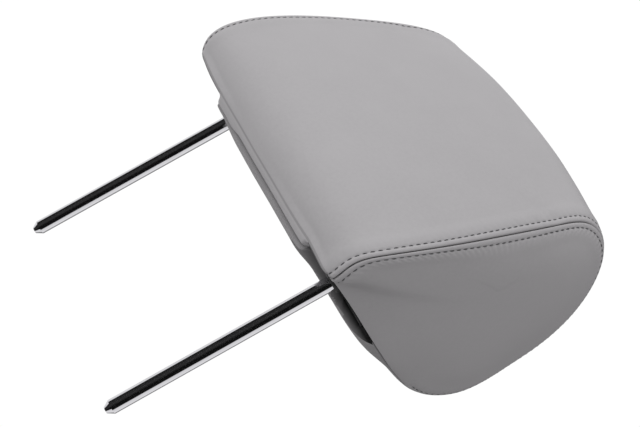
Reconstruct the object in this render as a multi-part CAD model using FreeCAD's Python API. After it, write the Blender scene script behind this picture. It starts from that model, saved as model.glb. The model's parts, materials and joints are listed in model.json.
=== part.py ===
import FreeCAD, Part
import math
import os

from FreeCAD import Vector

# Adjustable head restraint: a leather cushion that tilts on the crossbar of a two-post armature.
# Millimetres and degrees. Z is up, X runs across the cushion and Y points to the front, where the
# head rests. The origin lies midway between the lower ends of the two posts.

# Armature
POST_SPACING = 180.0
POST_R = 5.0
TIP_R = 2.25
TIP_LENGTH = 4.5
PIVOT_Z = 238.0
BEND_R = 25.0
NOTCH_DEPTH = 1.2
NOTCH_HEIGHT = 3.5
STOP_NOTCH_Z = 25.0
LOCK_NOTCH_Z = 50.0
LOCK_NOTCH_PITCH = 20.0
LOCK_NOTCH_COUNT = 4

# Grommets, in a shallow groove where the posts enter the cushion
GROOVE_Z = 164.0
GROOVE_HEIGHT = 10.0
GROOVE_DEPTH = 0.4
GROMMET_R = 7.5
GROMMET_EDGE_R = 1.2

# Tilt, from leaning back to leaning forward
TILT_BACK = 8.0
TILT_FORWARD = 16.0
STOP_CLEARANCE = 0.3

# Cushion cover and the line between its centre and side panels
COVER_T = 1.6
SEAM_LOW_X = 131.0
SEAM_HIGH_X = 113.0
SEAM_BEND_Z = 235.0
CUSHION_TOP_Z = 346.0
# Corners of the cushion's three outlines: two coordinates and the radius that rounds each.
SIDE_CORNERS = [(-59, 159, 16), (-57, 192, 40), (-28, 250, 150), (40, 347, 48), (88, CUSHION_TOP_Z, 56),
                (128, 314, 60), (142, 248, 60), (134, 198, 34), (84, 171, 90), (10, 157, 150)]
FRONT_CORNERS = [(126, 157, 30), (141, 224, 140), (129, 345, 38)]
FRONT_TOP = (0, 350, 700)
PLAN_CORNERS = [(138, -52, 24), (141, 40, 400), (137, 132, 36)]
PLAN_FRONT = (0, 142, 900)
PLAN_BACK = (0, -60, 900)
FLAP_Z = 165.0
FLAP_JOIN_Y = -30.0
PANEL_JOIN_Y = 62.0
BEYOND = 400.0

# Slots in the underside, which let the posts swing
SLOT_X = (78.0, 110.0)
SLOT_Y = (-32.0, 34.0)
SLOT_CORNER_R = 8.0
LINER_T = 1.5
LINER_Z = 167.5

# Plastic carrier inside the foam
CARRIER_X = 112.0
CARRIER_Z = 172.0
CARRIER_TOP_Z = 260.0
CARRIER_FRONT_Y = 34.0
CARRIER_WALL = 2.5
CARRIER_BACK = [(-24.0, CARRIER_Z), (-17.0, 240.0), (-4.0, CARRIER_TOP_Z)]
CARRIER_SPLIT_Y = 8.0
CARRIER_BOSS_X = 103.0
CARRIER_BOSS_Z = (182.0, 247.0)
CARRIER_BOSS_R = 4.0
CARRIER_SCREW_R = 1.5
CARRIER_SCREW_HEAD_R = 3.0
CARRIER_SCREW_HEAD_H = 2.5
CARRIER_SCREW_HEAD_Y = -5.0
CARRIER_SCREW_END_Y = 22.0

# Steel support plate and what is bolted to it
PLATE_Y = 16.0
PLATE_T = 2.0
PLATE_X = 76.0
PLATE_Z = (182.0, 253.0)
PLATE_CORNER_R = 8.0
WINDOW_SIDE_GAP = 2.0
PLATE_BOSS_X = 66.0
PLATE_BOSS_Z = (190.0, 246.0)
PLATE_BOSS_R = 5.0
PLATE_SCREW_R = 1.75
PLATE_SCREW_LENGTH = 12.0
LIGHTENING_HOLE_R = 11.0
LIGHTENING_HOLE_Z = 200.0
LIGHTENING_HOLE_X = 34.0

BRACKET_X = 48.0
BRACKET_WIDTH = 16.0
BRACKET_R = 11.0
BUSH_R = 8.0
RUNNING_CLEARANCE = 0.05
FLANGE_T = 2.5
FLANGE_HEIGHT = 30.0
NECK_HEIGHT = 10.0
BOLT_R = 2.0
BOLT_HEAD_R = 3.5
BOLT_HEAD_H = 2.5
BOLT_OFFSET_Z = 11.0
NUT_R = 4.0
NUT_H = 3.0

CLIP_X = 21.0
CLIP_WIDTH = 14.0
CLIP_T = 1.25
CLIP_GAP = 1.6
CLAMP_SCREW_Y = 10.0
CLAMP_SCREW_R = 1.5
CLAMP_HEAD_R = 2.7
CLAMP_HEAD_H = 2.0
CLAMP_TAIL = 0.5

LUG_R = 8.0
LUG_WIDTH = 6.0
FINGER_END_Y = 24.0
FINGER_T = 4.0
RING_T = 2.0
RING_GAP = 0.3

# Closure strips along the underside
STRIP_X = 70.0
STRIP_Z = 161.0
STRIP_T = 1.4
STRIP_GAP = 0.3
HOOK_WIDTH = 9.0
HOOK_HEIGHT = 5.0
CATCH_WIDTH = 9.3
RECESS_Y = (-35.0, -23.0)
RECESS_END_GAP = 2.0
RECESS_TOP_Z = 169.0

X_AXIS = Vector(1, 0, 0)
Y_AXIS = Vector(0, 1, 0)
Z_AXIS = Vector(0, 0, 1)
SIDES = {"left": -1, "right": 1}


def block(x, y, z):
    """A box from three (low, high) pairs."""
    return Part.makeBox(x[1] - x[0], y[1] - y[0], z[1] - z[0], Vector(x[0], y[0], z[0]))


def rod_x(radius, x0, x1, y=0.0, z=PIVOT_Z):
    return Part.makeCylinder(radius, x1 - x0, Vector(x0, y, z), X_AXIS)


def rod_y(radius, x, y0, y1, z):
    return Part.makeCylinder(radius, y1 - y0, Vector(x, y0, z), Y_AXIS)


def rod_z(radius, x, y, z0, z1):
    return Part.makeCylinder(radius, z1 - z0, Vector(x, y, z0), Z_AXIS)


def joined(shapes):
    whole = shapes[0].multiFuse(shapes[1:]) if len(shapes) > 1 else shapes[0]
    return whole.removeSplitter()


def prism_x(points, x0, x1):
    """A solid along X from a list of (y, z) corners."""
    corners = [Vector(x0, y, z) for y, z in points]
    face = Part.Face(Part.makePolygon(corners + corners[:1]))
    return face.extrude(X_AXIS * (x1 - x0))


def rounded_outline(corners):
    """A closed outline of straight runs and tangent arcs, from (corner, radius) pairs."""
    arcs = []
    for number, (corner, radius) in enumerate(corners):
        back = (corners[number - 1][0] - corner).normalize()
        ahead = (corners[(number + 1) % len(corners)][0] - corner).normalize()
        half = back.getAngle(ahead) / 2
        cut = radius / math.tan(half)
        middle = corner + (back + ahead).normalize() * (radius / math.sin(half) - radius)
        arcs.append((corner + back * cut, middle, corner + ahead * cut))
    edges = []
    for number, (start, middle, end) in enumerate(arcs):
        edges.append(Part.Arc(start, middle, end).toShape())
        edges.append(Part.makeLine(end, arcs[(number + 1) % len(arcs)][0]))
    return Part.Wire(edges)


def extruded(wire, inset, length):
    """A solid from a closed outline, made smaller by inset, extruded both ways from its plane."""
    if inset:
        wire = wire.makeOffset2D(-inset)
    wire.translate(-length)
    return Part.Face(wire).extrude(length * 2)


def side_outline():
    """The cushion from the side: a sloping back, a narrow top and a full front with a low chin."""
    return rounded_outline([(Vector(0, y, z), radius) for y, z, radius in SIDE_CORNERS])


def front_outline():
    """The cushion from the front: widest low down and narrower at the top."""
    corners = FRONT_CORNERS + [FRONT_TOP] + [(-x, z, radius) for x, z, radius in reversed(FRONT_CORNERS)]
    return rounded_outline([(Vector(x, 0, z), radius) for x, z, radius in corners])


def plan_outline():
    """The cushion from above, with rounded front corners."""
    corners = PLAN_CORNERS + [PLAN_FRONT]
    corners += [(-x, y, radius) for x, y, radius in reversed(PLAN_CORNERS)] + [PLAN_BACK]
    return rounded_outline([(Vector(x, y, 0), radius) for x, y, radius in corners])


def cushion_body(inset):
    side = extruded(side_outline(), inset, X_AXIS * BEYOND)
    front = extruded(front_outline(), inset, Y_AXIS * BEYOND)
    plan = extruded(plan_outline(), inset, Z_AXIS * BEYOND)
    return side.common(front).common(plan)


def slot(side, inset, z0, z1):
    """The post slot on one side, made smaller all round by inset."""
    near, far = SLOT_X[0] + inset, SLOT_X[1] - inset
    x = (near, far) if side > 0 else (-far, -near)
    cutter = block(x, (SLOT_Y[0] + inset, SLOT_Y[1] - inset), (z0, z1))
    upright = [e for e in cutter.Edges if abs(e.tangentAt(e.FirstParameter).z) > 0.5]
    return cutter.makeFillet(SLOT_CORNER_R - inset, upright)


def both_slots(inset, z0, z1):
    return [slot(side, inset, z0, z1) for side in SIDES.values()]


# Armature and what is fixed to it

def post(side):
    x = side * POST_SPACING / 2
    tip = Part.makeCone(TIP_R, POST_R, TIP_LENGTH, Vector(x, 0, 0), Z_AXIS)
    leg = rod_z(POST_R, x, 0, TIP_LENGTH, PIVOT_Z - BEND_R)
    ring = rod_z(POST_R + 1, x, 0, GROOVE_Z, GROOVE_Z + GROOVE_HEIGHT)
    ring = ring.cut(rod_z(POST_R - GROOVE_DEPTH, x, 0, GROOVE_Z, GROOVE_Z + GROOVE_HEIGHT))
    section = Part.Face(Part.Wire(Part.makeCircle(POST_R, Vector(x, 0, PIVOT_Z - BEND_R), Z_AXIS)))
    bend = section.revolve(Vector(x - side * BEND_R, 0, PIVOT_Z - BEND_R), Y_AXIS, -90 * side)
    return [tip, leg.cut(ring), bend]


def notch(x, x_side, y_side, z):
    """The material that a notch takes from the post at x, on the side it faces."""
    depth = POST_R - NOTCH_DEPTH
    z_span = (z - NOTCH_HEIGHT / 2, z + NOTCH_HEIGHT / 2)
    if y_side:
        return block((x - POST_R, x + POST_R), (depth, POST_R + 1), z_span)
    low, high = sorted((x + x_side * depth, x + x_side * (POST_R + 1)))
    return block((low, high), (-POST_R, POST_R), z_span)


def armature_rod():
    bar_end = POST_SPACING / 2 - BEND_R
    shapes = post(-1) + post(1) + [rod_x(POST_R, -bar_end, bar_end)]
    notches = [notch(POST_SPACING / 2, 0, 1, STOP_NOTCH_Z)]
    for number in range(LOCK_NOTCH_COUNT):
        notches.append(notch(POST_SPACING / 2, -1, 0, LOCK_NOTCH_Z + number * LOCK_NOTCH_PITCH))
    return joined(shapes).cut(notches)


def post_grommet(side):
    x = side * POST_SPACING / 2
    body = rod_z(GROMMET_R, x, 0, GROOVE_Z, GROOVE_Z + GROOVE_HEIGHT)
    rims = [edge for edge in body.Edges if edge.Curve.TypeId == "Part::GeomCircle"]
    bore = rod_z(POST_R - GROOVE_DEPTH, x, 0, GROOVE_Z, GROOVE_Z + GROOVE_HEIGHT)
    return body.makeFillet(GROMMET_EDGE_R, rims).cut(bore)


def stop_lug():
    ring = rod_x(LUG_R, -LUG_WIDTH / 2, LUG_WIDTH / 2)
    half = FINGER_T / 2
    finger = block((-LUG_WIDTH / 2, LUG_WIDTH / 2), (POST_R, FINGER_END_Y), (PIVOT_Z - half, PIVOT_Z + half))
    return joined([ring, finger]).cut(rod_x(POST_R, -LUG_WIDTH, LUG_WIDTH))


def retaining_rings():
    rings = []
    inner_x = BRACKET_X + BRACKET_WIDTH / 2 + RING_GAP
    for side in SIDES.values():
        low, high = sorted((side * inner_x, side * (inner_x + RING_T)))
        rings.append(rod_x(LUG_R, low, high).cut(rod_x(POST_R, low - 1, high + 1)))
    return Part.makeCompound(rings)


# Hinge parts on the cushion's side

def flange_levels():
    return [PIVOT_Z - BOLT_OFFSET_Z, PIVOT_Z + BOLT_OFFSET_Z]


def bolt_places():
    return [(x, z) for x in (-BRACKET_X, BRACKET_X, CLIP_X) for z in flange_levels()]


def bolt_holes(y0, y1):
    return [rod_y(BOLT_R, x, y0, y1, z) for x, z in bolt_places()]


def hinge_bush(side):
    x = side * BRACKET_X
    half = BRACKET_WIDTH / 2
    return rod_x(BUSH_R, x - half, x + half).cut(rod_x(POST_R + RUNNING_CLEARANCE, x - half, x + half))


def hinge_bracket(side):
    x = side * BRACKET_X
    span = (x - BRACKET_WIDTH / 2, x + BRACKET_WIDTH / 2)
    ring = rod_x(BRACKET_R, *span)
    neck = block(span, (0, PLATE_Y), (PIVOT_Z - NECK_HEIGHT / 2, PIVOT_Z + NECK_HEIGHT / 2))
    flange_z = (PIVOT_Z - FLANGE_HEIGHT / 2, PIVOT_Z + FLANGE_HEIGHT / 2)
    flange = block(span, (PLATE_Y - FLANGE_T, PLATE_Y), flange_z)
    return joined([ring, neck, flange]).cut([rod_x(BUSH_R, *span)] + bolt_holes(0, PLATE_Y))


def plate_bolts():
    bolts = []
    for x, z in bolt_places():
        face_y = PLATE_Y - FLANGE_T
        shank = rod_y(BOLT_R, x, face_y, PLATE_Y + PLATE_T + NUT_H + 1, z)
        head = rod_y(BOLT_HEAD_R, x, face_y - BOLT_HEAD_H, face_y, z)
        bolts.append(joined([shank, head]))
    return Part.makeCompound(bolts)


def plate_nuts():
    nuts = []
    y = PLATE_Y + PLATE_T
    for x, z in bolt_places():
        corners = []
        for corner in range(7):
            angle = math.radians(60 * corner)
            corners.append(Vector(x + NUT_R * math.cos(angle), y, z + NUT_R * math.sin(angle)))
        hexagon = Part.Face(Part.makePolygon(corners)).extrude(Y_AXIS * NUT_H)
        nuts.append(hexagon.cut(rod_y(BOLT_R, x, y, y + NUT_H, z)))
    return Part.makeCompound(nuts)


def support_plate():
    plate = block((-PLATE_X, PLATE_X), (PLATE_Y, PLATE_Y + PLATE_T), PLATE_Z)
    corners = [e for e in plate.Edges if abs(e.tangentAt(e.FirstParameter).y) > 0.5]
    plate = plate.makeFillet(PLATE_CORNER_R, corners)
    reach = PLATE_Y + PLATE_T
    half = FINGER_T / 2
    rise = [reach * math.tan(math.radians(a)) + half / math.cos(math.radians(a)) + STOP_CLEARANCE
            for a in (TILT_BACK, TILT_FORWARD)]
    window_z = (PIVOT_Z - rise[0], PIVOT_Z + rise[1])
    window_half = LUG_WIDTH / 2 + WINDOW_SIDE_GAP
    window = block((-window_half, window_half), (0, reach + 1), window_z)
    holes = [rod_y(LIGHTENING_HOLE_R, side * LIGHTENING_HOLE_X, 0, reach + 1, LIGHTENING_HOLE_Z)
             for side in SIDES.values()]
    holes += [rod_y(PLATE_SCREW_R, x, 0, reach + 1, z) for x, z in plate_boss_places()]
    return plate.cut([window] + holes + bolt_holes(0, reach + 1))


def friction_clip():
    """A spring band round the crossbar whose two ears are drawn together by the clamp screw."""
    x = (CLIP_X - CLIP_WIDTH / 2, CLIP_X + CLIP_WIDTH / 2)
    band_r = POST_R + RUNNING_CLEARANCE
    band = rod_x(band_r + CLIP_T, *x)
    gap = CLIP_GAP / 2
    parts = [band]
    for way in (-1, 1):
        ear_z = sorted((PIVOT_Z + way * gap, PIVOT_Z + way * (gap + CLIP_T)))
        foot_z = sorted((PIVOT_Z + way * gap, PIVOT_Z + way * FLANGE_HEIGHT / 2))
        parts.append(block(x, (band_r, PLATE_Y), ear_z))
        parts.append(block(x, (PLATE_Y - FLANGE_T, PLATE_Y), foot_z))
    slit = block(x, (0, PLATE_Y), (PIVOT_Z - gap, PIVOT_Z + gap))
    clamp_hole = rod_z(CLAMP_SCREW_R, CLIP_X, CLAMP_SCREW_Y, PIVOT_Z - PLATE_Y, PIVOT_Z + PLATE_Y)
    return joined(parts).cut([slit, rod_x(band_r, *x), clamp_hole] + bolt_holes(0, PLATE_Y))


def clip_clamp_screw():
    ear = CLIP_GAP / 2 + CLIP_T
    tail_z = PIVOT_Z - ear - CLAMP_HEAD_H - CLAMP_TAIL
    shank = rod_z(CLAMP_SCREW_R, CLIP_X, CLAMP_SCREW_Y, tail_z, PIVOT_Z + ear)
    head = rod_z(CLAMP_HEAD_R, CLIP_X, CLAMP_SCREW_Y, PIVOT_Z + ear, PIVOT_Z + ear + CLAMP_HEAD_H)
    nut = rod_z(CLAMP_HEAD_R, CLIP_X, CLAMP_SCREW_Y, PIVOT_Z - ear - CLAMP_HEAD_H, PIVOT_Z - ear)
    return joined([shank, head, nut])


# Carrier shells

def carrier_profile():
    front = [(CARRIER_FRONT_Y, CARRIER_TOP_Z), (CARRIER_FRONT_Y, CARRIER_Z)]
    corners = [Vector(0, y, z) for y, z in CARRIER_BACK + front]
    return [Part.makeLine(a, b) for a, b in zip(corners, corners[1:] + corners[:1])]


def carrier_block(inset):
    profile = Part.Wire(carrier_profile())
    if inset:
        profile = profile.makeOffset2D(-inset, 2)
    half = CARRIER_X - inset
    profile.translate(X_AXIS * -half)
    return Part.Face(profile).extrude(X_AXIS * (2 * half))


def carrier_boss_places():
    return [(side * CARRIER_BOSS_X, z) for side in SIDES.values() for z in CARRIER_BOSS_Z]


def plate_boss_places():
    return [(side * PLATE_BOSS_X, z) for side in SIDES.values() for z in PLATE_BOSS_Z]


def carrier_hollow():
    """Both shells as one, before they are parted, with the screw bosses and the post slots."""
    outside = carrier_block(0)
    shell = outside.cut(carrier_block(CARRIER_WALL))
    bosses = [rod_y(CARRIER_BOSS_R, x, -BEYOND, BEYOND, z) for x, z in carrier_boss_places()]
    bosses += [rod_y(PLATE_BOSS_R, x, PLATE_Y + PLATE_T, BEYOND, z) for x, z in plate_boss_places()]
    bosses = [boss.common(outside) for boss in bosses]
    holes = both_slots(LINER_T, CARRIER_Z - 1, CARRIER_Z + CARRIER_WALL + 1)
    holes += [screw_space(x, z) for x, z in carrier_boss_places()]
    tip_y = PLATE_Y + PLATE_SCREW_LENGTH
    holes += [rod_y(PLATE_SCREW_R, x, PLATE_Y, tip_y, z) for x, z in plate_boss_places()]
    return joined([shell] + bosses).cut(holes)


def screw_space(x, z):
    """The counterbore and hole that a carrier screw sits in."""
    counterbore = rod_y(CARRIER_SCREW_HEAD_R, x, -BEYOND, CARRIER_SCREW_HEAD_Y, z)
    return counterbore.fuse(rod_y(CARRIER_SCREW_R, x, CARRIER_SCREW_HEAD_Y, CARRIER_SCREW_END_Y, z))


def carrier_screws():
    screws = []
    for x, z in carrier_boss_places():
        head_y = CARRIER_SCREW_HEAD_Y
        head = rod_y(CARRIER_SCREW_HEAD_R, x, head_y - CARRIER_SCREW_HEAD_H, head_y, z)
        screws.append(joined([head, rod_y(CARRIER_SCREW_R, x, head_y, CARRIER_SCREW_END_Y, z)]))
    return Part.makeCompound(screws)


def plate_screws():
    screws = []
    for x, z in plate_boss_places():
        head = rod_y(BOLT_HEAD_R, x, PLATE_Y - BOLT_HEAD_H, PLATE_Y, z)
        screws.append(joined([head, rod_y(PLATE_SCREW_R, x, PLATE_Y, PLATE_Y + PLATE_SCREW_LENGTH, z)]))
    return Part.makeCompound(screws)


# Soft parts

def half_space_y(low, high):
    return block((-BEYOND, BEYOND), (low, high), (-BEYOND, BEYOND))


def closure_recess():
    half = STRIP_X + RECESS_END_GAP
    return block((-half, half), RECESS_Y, (-BEYOND, RECESS_TOP_Z))


def foam(core):
    """The foam round the carrier, cut for the slots and the closure strips."""
    return core.cut([carrier_block(0), closure_recess()] + both_slots(0, LINER_Z, CARRIER_Z)
                    + both_slots(LINER_T, 0, CARRIER_Z))


def centre_region():
    """Everything between the two side seams, as a prism along Y."""
    half = [(SEAM_LOW_X, -BEYOND), (SEAM_LOW_X, SEAM_BEND_Z), (SEAM_HIGH_X, CUSHION_TOP_Z)]
    half.append((SEAM_HIGH_X, BEYOND))
    corners = half + [(-x, z) for x, z in reversed(half)]
    points = [Vector(x, -BEYOND, z) for x, z in corners]
    return Part.Face(Part.makePolygon(points + points[:1])).extrude(Y_AXIS * (2 * BEYOND))


def underside_region():
    return block((-BEYOND, BEYOND), (-BEYOND, BEYOND), (-BEYOND, FLAP_Z))


def cover_panels(skin):
    centre = skin.common(centre_region())
    sides = skin.cut([centre_region(), underside_region()])
    upper = centre.cut(underside_region())
    rest = half_space_y(FLAP_JOIN_Y, BEYOND)
    openings = [closure_recess()] + both_slots(LINER_T, 0, CARRIER_Z) + both_slots(0, LINER_Z, CARRIER_Z)
    under = skin.common(underside_region()).cut(openings)
    return {
        "cover_back_panel": upper.common(half_space_y(-BEYOND, PANEL_JOIN_Y)),
        "cover_front_panel": upper.common(half_space_y(PANEL_JOIN_Y, BEYOND)),
        "cover_side_left": sides.common(block((-BEYOND, 0), (-BEYOND, BEYOND), (-BEYOND, BEYOND))),
        "cover_side_right": sides.common(block((0, BEYOND), (-BEYOND, BEYOND), (-BEYOND, BEYOND))),
        "cover_bottom_rear_flap": under.cut(rest),
        "cover_bottom_front_flap": under.common(rest),
    }


def slot_liner(side):
    return slot(side, 0, LINER_Z, CARRIER_Z).cut(slot(side, LINER_T, 0, CARRIER_Z + 1))


def closure_hook():
    """A J-shaped strip on the rear flap; its open side faces up."""
    y, z, t = RECESS_Y[0], STRIP_Z, STRIP_T
    tip = y + HOOK_WIDTH
    lip_z = z + HOOK_HEIGHT
    return prism_x([(y, z), (tip, z), (tip, lip_z), (tip - t, lip_z), (tip - t, z + t),
                    (y + t, z + t), (y + t, RECESS_TOP_Z), (y, RECESS_TOP_Z)], -STRIP_X, STRIP_X)


def closure_catch():
    """A J-shaped strip on the front flap, turned over so that it hangs in the hook."""
    y, z, t, g = RECESS_Y[1], STRIP_Z, STRIP_T, STRIP_GAP
    lip = y - CATCH_WIDTH
    return prism_x([(y, z), (y, RECESS_TOP_Z), (lip, RECESS_TOP_Z), (lip, z + t + g), (lip + t, z + t + g),
                    (lip + t, RECESS_TOP_Z - t), (y - t, RECESS_TOP_Z - t), (y - t, z)], -STRIP_X, STRIP_X)


def all_nodes():
    core = cushion_body(COVER_T)
    skin = cushion_body(0).cut(core)
    carrier = carrier_hollow()
    stuffing = foam(core)
    rear, front = half_space_y(-BEYOND, CARRIER_SPLIT_Y), half_space_y(CARRIER_SPLIT_Y, BEYOND)
    nodes = {
        "armature_rod": armature_rod(),
        "stop_lug": stop_lug(),
        "retaining_rings": retaining_rings(),
        "support_plate": support_plate(),
        "plate_bolts": plate_bolts(),
        "plate_nuts": plate_nuts(),
        "plate_screws": plate_screws(),
        "friction_clip": friction_clip(),
        "clip_clamp_screw": clip_clamp_screw(),
        "carrier_rear": carrier.common(rear),
        "carrier_front": carrier.common(front),
        "carrier_screws": carrier_screws(),
        "foam_rear_pad": stuffing.common(rear),
        "foam_front_pad": stuffing.common(front),
        "closure_hook": closure_hook(),
        "closure_catch": closure_catch(),
    }
    nodes.update(cover_panels(skin))
    for name, side in SIDES.items():
        nodes["post_grommet_" + name] = post_grommet(side)
        nodes["hinge_bush_" + name] = hinge_bush(side)
        nodes["hinge_bracket_" + name] = hinge_bracket(side)
        nodes["slot_liner_" + name] = slot_liner(side)
    return nodes


def main():
    os.makedirs("parts", exist_ok=True)
    for name, shape in sorted(all_nodes().items()):
        print(name, len(shape.Solids), shape.isValid(), round(shape.Volume / 1000, 2), "cm3")
        shape.exportStep(os.path.join("parts", name + ".step"))


main()
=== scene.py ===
import json
import math

import bmesh
import bpy
import numpy as np
from mathutils import Matrix, Vector, noise

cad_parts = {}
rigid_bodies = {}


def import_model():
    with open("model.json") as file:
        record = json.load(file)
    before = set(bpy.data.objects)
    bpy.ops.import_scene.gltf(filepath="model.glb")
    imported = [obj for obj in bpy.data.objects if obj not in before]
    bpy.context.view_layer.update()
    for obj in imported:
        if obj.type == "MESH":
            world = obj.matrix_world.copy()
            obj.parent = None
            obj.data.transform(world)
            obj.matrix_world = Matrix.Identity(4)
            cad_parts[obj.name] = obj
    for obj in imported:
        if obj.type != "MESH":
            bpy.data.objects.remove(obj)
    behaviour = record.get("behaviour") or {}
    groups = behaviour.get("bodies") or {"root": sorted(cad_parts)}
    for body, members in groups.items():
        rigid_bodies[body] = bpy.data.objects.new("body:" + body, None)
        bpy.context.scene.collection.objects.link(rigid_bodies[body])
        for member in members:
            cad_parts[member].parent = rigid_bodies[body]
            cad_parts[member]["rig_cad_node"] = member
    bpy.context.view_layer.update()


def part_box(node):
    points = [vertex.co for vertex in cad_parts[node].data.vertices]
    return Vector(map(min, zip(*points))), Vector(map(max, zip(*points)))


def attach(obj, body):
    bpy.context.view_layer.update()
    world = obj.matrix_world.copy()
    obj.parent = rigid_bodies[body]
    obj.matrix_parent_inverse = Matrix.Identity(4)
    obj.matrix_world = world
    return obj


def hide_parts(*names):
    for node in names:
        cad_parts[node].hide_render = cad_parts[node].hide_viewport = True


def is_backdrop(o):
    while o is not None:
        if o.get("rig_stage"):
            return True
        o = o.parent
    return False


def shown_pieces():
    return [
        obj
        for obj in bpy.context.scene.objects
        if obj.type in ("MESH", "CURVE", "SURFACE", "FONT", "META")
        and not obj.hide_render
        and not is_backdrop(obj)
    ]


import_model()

MM = 0.001
MIRROR = np.array([-1.0, 1, 1])
TINY = 1e-9

# ---------------------------------------------------------------- camera
CAMERA_PLACE = (0.7118, -0.7297, 0.1458)
CAMERA_AZIMUTH = 42.96
CAMERA_ELEVATION = -2.04
CAMERA_ROLL = 60.69
LENS_MM = 84.4
SENSOR_MM = 36
CLIP_FROM_TO = (0.05, 30)


def directions(azimuth, elevation, roll):
    """Right, up and forward of a camera at that azimuth and elevation, rolled about its line of sight."""
    a, e, r = (math.radians(x) for x in (azimuth, elevation, roll))
    forward = Vector((-math.sin(a) * math.cos(e), math.cos(a) * math.cos(e), -math.sin(e)))
    level = forward.cross(Vector((0, 0, 1))).normalized()
    plumb = level.cross(forward)
    right = level * math.cos(r) + plumb * math.sin(r)
    return right, right.cross(forward), forward


def make_camera():
    data = bpy.data.cameras.new("camera")
    data.lens = LENS_MM
    data.sensor_width = SENSOR_MM
    data.clip_start, data.clip_end = CLIP_FROM_TO
    camera = bpy.data.objects.new("camera", data)
    right, up, forward = directions(CAMERA_AZIMUTH, CAMERA_ELEVATION, CAMERA_ROLL)
    turn = Matrix((right, up, -forward)).transposed().to_4x4()
    camera.matrix_world = Matrix.Translation(CAMERA_PLACE) @ turn
    bpy.context.scene.collection.objects.link(camera)
    bpy.context.scene.camera = camera


# ---------------------------------------------------------------- node helpers
class Nodes:
    """Short calls for building a material's or the world's nodes."""

    def __init__(self, tree):
        self.tree = tree
        tree.nodes.clear()

    def add(self, kind, settings=None, **inputs):
        node = self.tree.nodes.new(kind)
        for name, value in (settings or {}).items():
            setattr(node, name, value)
        for name, value in inputs.items():
            self.put(node.inputs[name.replace("_", " ")], value)
        return node

    def put(self, socket, value):
        if isinstance(value, bpy.types.NodeSocket):
            self.tree.links.new(value, socket)
        else:
            socket.default_value = value

    def ramp(self, factor, stops):
        node = self.add("ShaderNodeValToRGB", Fac=factor)
        band = node.color_ramp
        while len(band.elements) < len(stops):
            band.elements.new(0.5)
        for element, (place, colour) in zip(band.elements, stops):
            element.position = place
            element.color = (*colour, 1)
        return node.outputs["Color"]

    def blotches(self, place, scale, detail):
        return self.add("ShaderNodeTexNoise", Vector=place, Scale=scale, Detail=detail).outputs["Fac"]

    def compute(self, operation, *values):
        node = self.add("ShaderNodeMath", {"operation": operation})
        for socket, value in zip(node.inputs, values):
            self.put(socket, value)
        return node.outputs[0]

    def mix(self, factor, a, b, blend="MIX"):
        settings = {"data_type": "RGBA", "blend_type": blend}
        return self.add("ShaderNodeMix", settings, Factor=factor, A=a, B=b).outputs["Result"]

    def bump(self, height, strength, distance, over=None):
        node = self.add("ShaderNodeBump", Strength=strength, Distance=distance, Height=height)
        if over is not None:
            self.put(node.inputs["Normal"], over)
        return node.outputs["Normal"]

    def surface(self, colour, rough, normal, **sockets):
        shader = self.add("ShaderNodeBsdfPrincipled", Base_Color=colour, Roughness=rough, Normal=normal,
                          **sockets)
        self.add("ShaderNodeOutputMaterial", Surface=shader.outputs["BSDF"])


def new_material(name):
    """A new material, its nodes, and the place on the object that its patterns follow."""
    material = bpy.data.materials.new(name)
    material.use_nodes = True
    n = Nodes(material.node_tree)
    return material, n, n.add("ShaderNodeTexCoord").outputs["Object"]


def grey(value, tint=0.0):
    """A grey with a slight violet tint."""
    return (value, value * (1 - tint), value * (1 + tint * 0.4))


# ---------------------------------------------------------------- materials, with their sizes in metres
LEATHER_BASE = (0.335, 0.325, 0.335)
LEATHER_TONES = (0.965, 1.03)
LEATHER_DRIFT_SCALE = 26.0
LEATHER_MOTTLE_SCALE = 420.0
LEATHER_PEBBLE_SCALE = 1150.0
LEATHER_PORE_SCALE = 3200.0
LEATHER_SPECULAR = 0.38
PEBBLE_DEPTH = 0.00012
PORE_DEPTH = 0.00006
# Painted shade: the leather darkens in creases and hollows by ambient occlusion, within this reach, down to this
# darkest share, fully open from this share.
CREASE_REACH = 0.009
CREASE_SHADE_DARKEST = 0.12
CREASE_OPEN = 0.62
UNDERSIDE_SHADE = 0.74
# Painted shade: the leather inside the post slots turns black between these two heights, where the slots lie
# deep in shadow.
SLOT_SHADE_BLACK = (0.004, 0.004, 0.004, 1)
SLOT_SHADE_HEIGHTS = (0.1575, 0.1668)
CHROME_TONES = ((0.80, 0.80, 0.82), (0.88, 0.88, 0.90))
CHROME_LINE_STRETCH = (1, 1, 0.03)
CHROME_LINE_SCALE = 2600.0
CHROME_LINE_DEPTH = 0.00003
CHROME_SPECK_SCALE = 700.0

# Each finish has its dark and light tone, roughness, grain scale, grain depth and metallic share.
FINISHES = {
    "thread": ((0.055, 0.055, 0.058), (0.1, 0.1, 0.105), 0.7, 2400, 0.0001, 0.0),
    "black_rubber": ((0.022, 0.022, 0.022), (0.04, 0.04, 0.04), 0.55, 1500, 0.00005, 0.0),
    "black_plastic": ((0.018, 0.018, 0.02), (0.03, 0.03, 0.032), 0.5, 1800, 0.00008, 0.0),
    "dark_plastic": ((0.03, 0.03, 0.032), (0.05, 0.05, 0.052), 0.42, 900, 0.00004, 0.0),
    "nylon": ((0.62, 0.60, 0.54), (0.72, 0.70, 0.64), 0.35, 500, 0.00003, 0.0),
    "zinc_steel": ((0.42, 0.43, 0.45), (0.58, 0.58, 0.56), 0.38, 900, 0.00003, 1.0),
    "fastener_steel": ((0.38, 0.39, 0.41), (0.52, 0.52, 0.5), 0.32, 1200, 0.00003, 1.0),
    "spring_steel": ((0.12, 0.13, 0.16), (0.2, 0.2, 0.22), 0.3, 1200, 0.00002, 1.0),
}
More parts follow.
